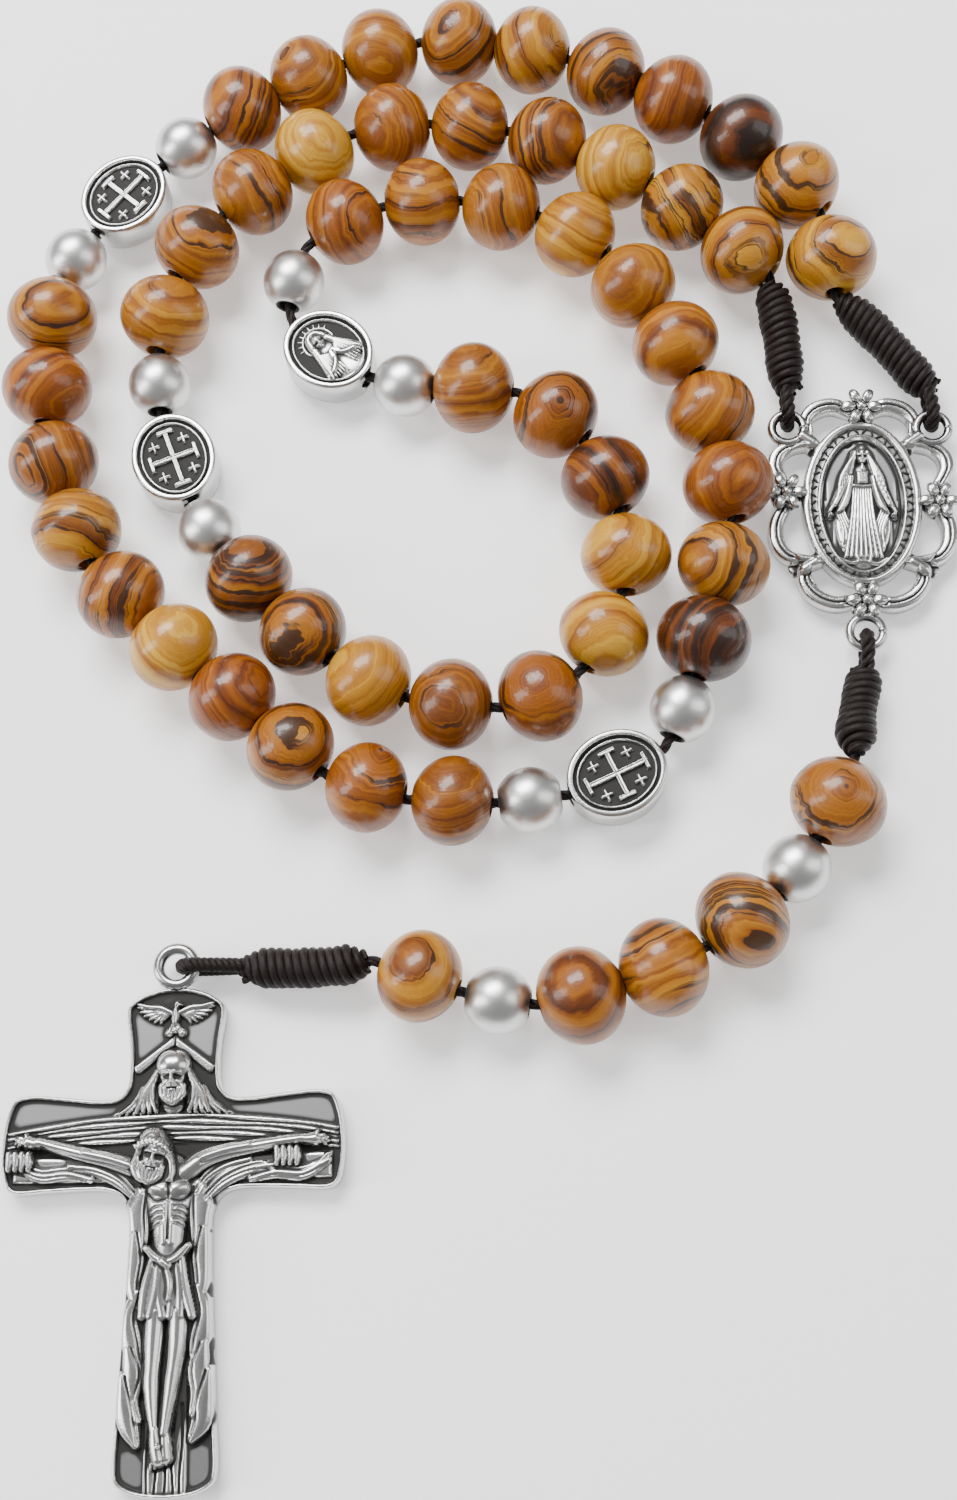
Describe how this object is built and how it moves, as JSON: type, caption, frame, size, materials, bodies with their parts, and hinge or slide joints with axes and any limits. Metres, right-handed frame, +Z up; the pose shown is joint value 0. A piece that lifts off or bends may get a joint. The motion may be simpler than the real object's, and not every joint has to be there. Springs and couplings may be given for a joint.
{
  "type": "rosary",
  "caption": "Olive wood rosary on a waxed cord, with oval medals between silver balls, a scrolled centre medal, wound knots and a silver crucifix",
  "frame": {"origin": "middle of the laid-out rosary on the surface it lies on", "axes": "+Y runs up the loop away from the crucifix, +X to the centre medal side, +Z up from the surface"},
  "size_m": [0.088, 0.138, 0.0081],
  "materials": {
    "olive_wood": "lacquered, dark grain",
    "antique_silver": "satin with oxidised recesses",
    "waxed_cord": "waxed twist"
  },
  "bodies": {
    "loop_strand": {"loop_cord": "waxed_cord", "left_knot": "waxed_cord", "right_knot": "waxed_cord"},
    "centre_medal": {"centre_medal": "antique_silver"},
    "pendant_strand": {"pendant_cord": "waxed_cord", "lower_knot": "waxed_cord", "crucifix_knot": "waxed_cord"},
    "crucifix": {"crucifix": "antique_silver"},
    "decade_1_bead_01": {"decade_1_bead_01": "olive_wood"},
    "decade_1_bead_02_and_03": {"decade_1_bead_02_and_03": "olive_wood"},
    "decade_1_bead_04_and_05": {"decade_1_bead_04_and_05": "olive_wood"},
    "decade_1_bead_06_and_07": {"decade_1_bead_06_and_07": "olive_wood"},
    "decade_1_bead_08": {"decade_1_bead_08": "olive_wood"},
    "decade_1_bead_09_and_10": {"decade_1_bead_09_and_10": "olive_wood"},
    "loop_ball_1": {"loop_ball_1": "antique_silver"},
    "oval_medal_1": {"oval_medal_1": "antique_silver"},
    "loop_ball_2": {"loop_ball_2": "antique_silver"},
    "decade_2_bead_01_and_02": {"decade_2_bead_01_and_02": "olive_wood"},
    "decade_2_bead_03_and_04": {"decade_2_bead_03_and_04": "olive_wood"},
    "decade_2_bead_05_and_06": {"decade_2_bead_05_and_06": "olive_wood"},
    "decade_2_bead_07_and_08": {"decade_2_bead_07_and_08": "olive_wood"},
    "decade_2_bead_09_and_10": {"decade_2_bead_09_and_10": "olive_wood"},
    "loop_ball_3": {"loop_ball_3": "antique_silver"},
    "oval_medal_2": {"oval_medal_2": "antique_silver"},
    "loop_ball_4": {"loop_ball_4": "antique_silver"},
    "decade_3_bead_01_and_02": {"decade_3_bead_01_and_02": "olive_wood"},
    "decade_3_bead_03_and_04": {"decade_3_bead_03_and_04": "olive_wood"},
    "decade_3_bead_05_and_06": {"decade_3_bead_05_and_06": "olive_wood"},
    "decade_3_bead_07": {"decade_3_bead_07": "olive_wood"},
    "decade_3_bead_08": {"decade_3_bead_08": "olive_wood"},
    "decade_3_bead_09": {"decade_3_bead_09": "olive_wood"},
    "decade_3_bead_10": {"decade_3_bead_10": "olive_wood"},
    "loop_ball_5": {"loop_ball_5": "antique_silver"},
    "oval_medal_3": {"oval_medal_3": "antique_silver"},
    "loop_ball_6": {"loop_ball_6": "antique_silver"},
    "decade_4_bead_01": {"decade_4_bead_01": "olive_wood"},
    "decade_4_bead_02": {"decade_4_bead_02": "olive_wood"},
    "decade_4_bead_03": {"decade_4_bead_03": "olive_wood"},
    "decade_4_bead_04": {"decade_4_bead_04": "olive_wood"},
    "decade_4_bead_05": {"decade_4_bead_05": "olive_wood"},
    "decade_4_bead_06": {"decade_4_bead_06": "olive_wood"},
    "decade_4_bead_07": {"decade_4_bead_07": "olive_wood"},
    "decade_4_bead_08": {"decade_4_bead_08": "olive_wood"},
    "decade_4_bead_09_and_10": {"decade_4_bead_09_and_10": "olive_wood"},
    "loop_ball_7": {"loop_ball_7": "antique_silver"},
    "oval_medal_4": {"oval_medal_4": "antique_silver"},
    "loop_ball_8": {"loop_ball_8": "antique_silver"},
    "decade_5_bead_01": {"decade_5_bead_01": "olive_wood"},
    "decade_5_bead_02": {"decade_5_bead_02": "olive_wood"},
    "decade_5_bead_03_and_04": {"decade_5_bead_03_and_04": "olive_wood"},
    "decade_5_bead_05": {"decade_5_bead_05": "olive_wood"},
    "decade_5_bead_06": {"decade_5_bead_06": "olive_wood"},
    "decade_5_bead_07_and_08": {"decade_5_bead_07_and_08": "olive_wood"},
    "decade_5_bead_09_and_10": {"decade_5_bead_09_and_10": "olive_wood"},
    "pendant_bead_1": {"pendant_bead_1": "olive_wood"},
    "pendant_ball_1": {"pendant_ball_1": "antique_silver"},
    "pendant_bead_2": {"pendant_bead_2": "olive_wood"},
    "pendant_bead_3_and_4": {"pendant_bead_3_and_4": "olive_wood"},
    "pendant_ball_2": {"pendant_ball_2": "antique_silver"},
    "pendant_bead_5": {"pendant_bead_5": "olive_wood"}
  },
  "joints": [
    {"name": "centre_medal_lift", "type": "hinge", "parent": "loop_strand", "child": "centre_medal", "pos_m": [0.03549, 0.02512, 0.0018], "axis": [-0.9997, 0.0262, 0], "range_deg": [0, 90]},
    {"name": "pendant_swing", "type": "hinge", "parent": "centre_medal", "child": "pendant_strand", "pos_m": [0.03493, 0.00373, 0.0018], "axis": [0, 0, 1], "range_deg": [-12, 40]},
    {"name": "crucifix_swing", "type": "hinge", "parent": "pendant_strand", "child": "crucifix", "pos_m": [-0.02587, -0.02597, 0.0018], "axis": [0, 0, 1], "range_deg": [-60, 15]},
    {"name": "decade_1_bead_01_spin", "type": "hinge", "parent": "loop_strand", "child": "decade_1_bead_01", "pos_m": [0.03341, 0.04052, 0.00405], "axis": [-0.0564, 0.9984, 0], "continuous": true},
    {"name": "decade_1_bead_02_and_03_spin", "type": "hinge", "parent": "loop_strand", "child": "decade_1_bead_02_and_03", "pos_m": [0.02797, 0.05083, 0.00405], "axis": [-0.6789, 0.7342, 0], "continuous": true},
    {"name": "decade_1_bead_04_and_05_spin", "type": "hinge", "parent": "loop_strand", "child": "decade_1_bead_04_and_05", "pos_m": [0.01604, 0.05955, 0.00405], "axis": [-0.8875, 0.4609, 0], "continuous": true},
    {"name": "decade_1_bead_06_and_07_spin", "type": "hinge", "parent": "loop_strand", "child": "decade_1_bead_06_and_07", "pos_m": [0.00217, 0.06458, 0.00405], "axis": [-0.9849, 0.1734, 0], "continuous": true},
    {"name": "decade_1_bead_08_spin", "type": "hinge", "parent": "loop_strand", "child": "decade_1_bead_08", "pos_m": [-0.00916, 0.06435, 0.00405], "axis": [-0.9601, -0.2795, 0], "continuous": true},
    {"name": "decade_1_bead_09_and_10_spin", "type": "hinge", "parent": "loop_strand", "child": "decade_1_bead_09_and_10", "pos_m": [-0.01936, 0.06003, 0.00405], "axis": [-0.8922, -0.4516, 0], "continuous": true},
    {"name": "loop_ball_1_spin", "type": "hinge", "parent": "loop_strand", "child": "loop_ball_1", "pos_m": [-0.02829, 0.05479, 0.0031], "axis": [-0.8, -0.6001, 0], "continuous": true},
    {"name": "oval_medal_1_spin", "type": "hinge", "parent": "loop_strand", "child": "oval_medal_1", "pos_m": [-0.034, 0.04934, 0.0025], "axis": [-0.6505, -0.7595, 0], "continuous": true},
    {"name": "loop_ball_2_spin", "type": "hinge", "parent": "loop_strand", "child": "loop_ball_2", "pos_m": [-0.03845, 0.04279, 0.0031], "axis": [-0.432, -0.9019, 0], "continuous": true},
    {"name": "decade_2_bead_01_and_02_spin", "type": "hinge", "parent": "loop_strand", "child": "decade_2_bead_01_and_02", "pos_m": [-0.04013, 0.03227, 0.00405], "axis": [-0.0056, -1, 0], "continuous": true},
    {"name": "decade_2_bead_03_and_04_spin", "type": "hinge", "parent": "loop_strand", "child": "decade_2_bead_03_and_04", "pos_m": [-0.03779, 0.01768, 0.00405], "axis": [0.3525, -0.9358, 0], "continuous": true},
    {"name": "decade_2_bead_05_and_06_spin", "type": "hinge", "parent": "loop_strand", "child": "decade_2_bead_05_and_06", "pos_m": [-0.02963, 0.0053, 0.00405], "axis": [0.7023, -0.7119, 0], "continuous": true},
    {"name": "decade_2_bead_07_and_08_spin", "type": "hinge", "parent": "loop_strand", "child": "decade_2_bead_07_and_08", "pos_m": [-0.01884, -0.00455, 0.00405], "axis": [0.7493, -0.6622, 0], "continuous": true},
    {"name": "decade_2_bead_09_and_10_spin", "type": "hinge", "parent": "loop_strand", "child": "decade_2_bead_09_and_10", "pos_m": [-0.00566, -0.01139, 0.00405], "axis": [0.9855, -0.17, 0], "continuous": true},
    {"name": "loop_ball_3_spin", "type": "hinge", "parent": "loop_strand", "child": "loop_ball_3", "pos_m": [0.0048, -0.0118, 0.0031], "axis": [0.9921, 0.1255, 0], "continuous": true},
    {"name": "oval_medal_2_spin", "type": "hinge", "parent": "loop_strand", "child": "oval_medal_2", "pos_m": [0.0124, -0.0097, 0.0025], "axis": [0.906, 0.4233, 0], "continuous": true},
    {"name": "loop_ball_4_spin", "type": "hinge", "parent": "loop_strand", "child": "loop_ball_4", "pos_m": [0.01831, -0.00368, 0.0031], "axis": [0.3584, 0.9336, 0], "continuous": true},
    {"name": "decade_3_bead_01_and_02_spin", "type": "hinge", "parent": "loop_strand", "child": "decade_3_bead_01_and_02", "pos_m": [0.02133, 0.00608, 0.00405], "axis": [0.2721, 0.9623, 0], "continuous": true},
    {"name": "decade_3_bead_03_and_04_spin", "type": "hinge", "parent": "loop_strand", "child": "decade_3_bead_03_and_04", "pos_m": [0.02232, 0.02089, 0.00405], "axis": [-0.1883, 0.9821, 0], "continuous": true},
    {"name": "decade_3_bead_05_and_06_spin", "type": "hinge", "parent": "loop_strand", "child": "decade_3_bead_05_and_06", "pos_m": [0.01682, 0.03463, 0.00405], "axis": [-0.5245, 0.8514, 0], "continuous": true},
    {"name": "decade_3_bead_07_spin", "type": "hinge", "parent": "loop_strand", "child": "decade_3_bead_07", "pos_m": [0.00964, 0.04331, 0.00405], "axis": [-0.8066, 0.5911, 0], "continuous": true},
    {"name": "decade_3_bead_08_spin", "type": "hinge", "parent": "loop_strand", "child": "decade_3_bead_08", "pos_m": [0.00265, 0.04658, 0.00405], "axis": [-0.9651, 0.2619, 0], "continuous": true},
    {"name": "decade_3_bead_09_spin", "type": "hinge", "parent": "loop_strand", "child": "decade_3_bead_09", "pos_m": [-0.00498, 0.04741, 0.00405], "axis": [-0.998, -0.0638, 0], "continuous": true},
    {"name": "decade_3_bead_10_spin", "type": "hinge", "parent": "loop_strand", "child": "decade_3_bead_10", "pos_m": [-0.01245, 0.04547, 0.00405], "axis": [-0.8981, -0.4399, 0], "continuous": true},
    {"name": "loop_ball_5_spin", "type": "hinge", "parent": "loop_strand", "child": "loop_ball_5", "pos_m": [-0.01729, 0.03977, 0.0031], "axis": [-0.1956, -0.9807, 0], "continuous": true},
    {"name": "oval_medal_3_spin", "type": "hinge", "parent": "loop_strand", "child": "oval_medal_3", "pos_m": [-0.01374, 0.03203, 0.0025], "axis": [0.8024, -0.5968, 0], "continuous": true},
    {"name": "loop_ball_6_spin", "type": "hinge", "parent": "loop_strand", "child": "loop_ball_6", "pos_m": [-0.00655, 0.02852, 0.0031], "axis": [0.9719, -0.2353, 0], "continuous": true},
    {"name": "decade_4_bead_01_spin", "type": "hinge", "parent": "loop_strand", "child": "decade_4_bead_01", "pos_m": [0.00006, 0.02759, 0.00405], "axis": [0.9922, -0.1243, 0], "continuous": true},
    {"name": "decade_4_bead_02_spin", "type": "hinge", "parent": "loop_strand", "child": "decade_4_bead_02", "pos_m": [0.00752, 0.02463, 0.00405], "axis": [0.7462, -0.6657, 0], "continuous": true},
    {"name": "decade_4_bead_03_spin", "type": "hinge", "parent": "loop_strand", "child": "decade_4_bead_03", "pos_m": [0.01189, 0.0183, 0.00405], "axis": [0.4084, -0.9128, 0], "continuous": true},
    {"name": "decade_4_bead_04_spin", "type": "hinge", "parent": "loop_strand", "child": "decade_4_bead_04", "pos_m": [0.01363, 0.01072, 0.00405], "axis": [-0.016, -0.9999, 0], "continuous": true},
    {"name": "decade_4_bead_05_spin", "type": "hinge", "parent": "loop_strand", "child": "decade_4_bead_05", "pos_m": [0.01153, 0.00319, 0.00405], "axis": [-0.4705, -0.8824, 0], "continuous": true},
    {"name": "decade_4_bead_06_spin", "type": "hinge", "parent": "loop_strand", "child": "decade_4_bead_06", "pos_m": [0.00588, -0.00254, 0.00405], "axis": [-0.9173, -0.3982, 0], "continuous": true},
    {"name": "decade_4_bead_07_spin", "type": "hinge", "parent": "loop_strand", "child": "decade_4_bead_07", "pos_m": [-0.00191, -0.00324, 0.00405], "axis": [-0.991, 0.1337, 0], "continuous": true},
    {"name": "decade_4_bead_08_spin", "type": "hinge", "parent": "loop_strand", "child": "decade_4_bead_08", "pos_m": [-0.00927, -0.00098, 0.00405], "axis": [-0.8801, 0.4748, 0], "continuous": true},
    {"name": "decade_4_bead_09_and_10_spin", "type": "hinge", "parent": "loop_strand", "child": "decade_4_bead_09_and_10", "pos_m": [-0.01778, 0.00632, 0.00405], "axis": [-0.6935, 0.7205, 0], "continuous": true},
    {"name": "loop_ball_7_spin", "type": "hinge", "parent": "loop_strand", "child": "loop_ball_7", "pos_m": [-0.02445, 0.01432, 0.0031], "axis": [-0.5245, 0.8514, 0], "continuous": true},
    {"name": "oval_medal_4_spin", "type": "hinge", "parent": "loop_strand", "child": "oval_medal_4", "pos_m": [-0.02787, 0.02134, 0.0025], "axis": [-0.3578, 0.9338, 0], "continuous": true},
    {"name": "loop_ball_8_spin", "type": "hinge", "parent": "loop_strand", "child": "loop_ball_8", "pos_m": [-0.0297, 0.02913, 0.0031], "axis": [-0.0561, 0.9984, 0], "continuous": true},
    {"name": "decade_5_bead_01_spin", "type": "hinge", "parent": "loop_strand", "child": "decade_5_bead_01", "pos_m": [-0.02928, 0.03596, 0.00405], "axis": [0.175, 0.9846, 0], "continuous": true},
    {"name": "decade_5_bead_02_spin", "type": "hinge", "parent": "loop_strand", "child": "decade_5_bead_02", "pos_m": [-0.02657, 0.0432, 0.00405], "axis": [0.5252, 0.851, 0], "continuous": true},
    {"name": "decade_5_bead_03_and_04_spin", "type": "hinge", "parent": "loop_strand", "child": "decade_5_bead_03_and_04", "pos_m": [-0.01855, 0.05111, 0.00405], "axis": [0.8144, 0.5803, 0], "continuous": true},
    {"name": "decade_5_bead_05_spin", "type": "hinge", "parent": "loop_strand", "child": "decade_5_bead_05", "pos_m": [-0.00814, 0.05573, 0.00405], "axis": [0.9942, 0.1076, 0], "continuous": true},
    {"name": "decade_5_bead_06_spin", "type": "hinge", "parent": "loop_strand", "child": "decade_5_bead_06", "pos_m": [-0.00058, 0.05558, 0.00405], "axis": [0.9918, -0.1281, 0], "continuous": true},
    {"name": "decade_5_bead_07_and_08_spin", "type": "hinge", "parent": "loop_strand", "child": "decade_5_bead_07_and_08", "pos_m": [0.01011, 0.0522, 0.00405], "axis": [0.8987, -0.4386, 0], "continuous": true},
    {"name": "decade_5_bead_09_and_10_spin", "type": "hinge", "parent": "loop_strand", "child": "decade_5_bead_09_and_10", "pos_m": [0.02216, 0.04386, 0.00405], "axis": [0.754, -0.6569, 0], "continuous": true},
    {"name": "pendant_bead_1_spin", "type": "hinge", "parent": "pendant_strand", "child": "pendant_bead_1", "pos_m": [0.0314, -0.01246, 0.00405], "axis": [-0.4437, -0.8962, 0], "continuous": true},
    {"name": "pendant_ball_1_spin", "type": "hinge", "parent": "pendant_strand", "child": "pendant_ball_1", "pos_m": [0.02761, -0.01821, 0.0031], "axis": [-0.6405, -0.768, 0], "continuous": true},
    {"name": "pendant_bead_2_spin", "type": "hinge", "parent": "pendant_strand", "child": "pendant_bead_2", "pos_m": [0.02262, -0.02296, 0.00405], "axis": [-0.7946, -0.6071, 0], "continuous": true},
    {"name": "pendant_bead_3_and_4_spin", "type": "hinge", "parent": "pendant_strand", "child": "pendant_bead_3_and_4", "pos_m": [0.01256, -0.02799, 0.00405], "axis": [-0.9508, -0.3099, 0], "continuous": true},
    {"name": "pendant_ball_2_spin", "type": "hinge", "parent": "pendant_strand", "child": "pendant_ball_2", "pos_m": [0.00197, -0.02938, 0.0031], "axis": [-0.9855, 0.1695, 0], "continuous": true},
    {"name": "pendant_bead_5_spin", "type": "hinge", "parent": "pendant_strand", "child": "pendant_bead_5", "pos_m": [-0.00462, -0.02741, 0.00405], "axis": [-0.9354, 0.3537, 0], "continuous": true}
  ]
}
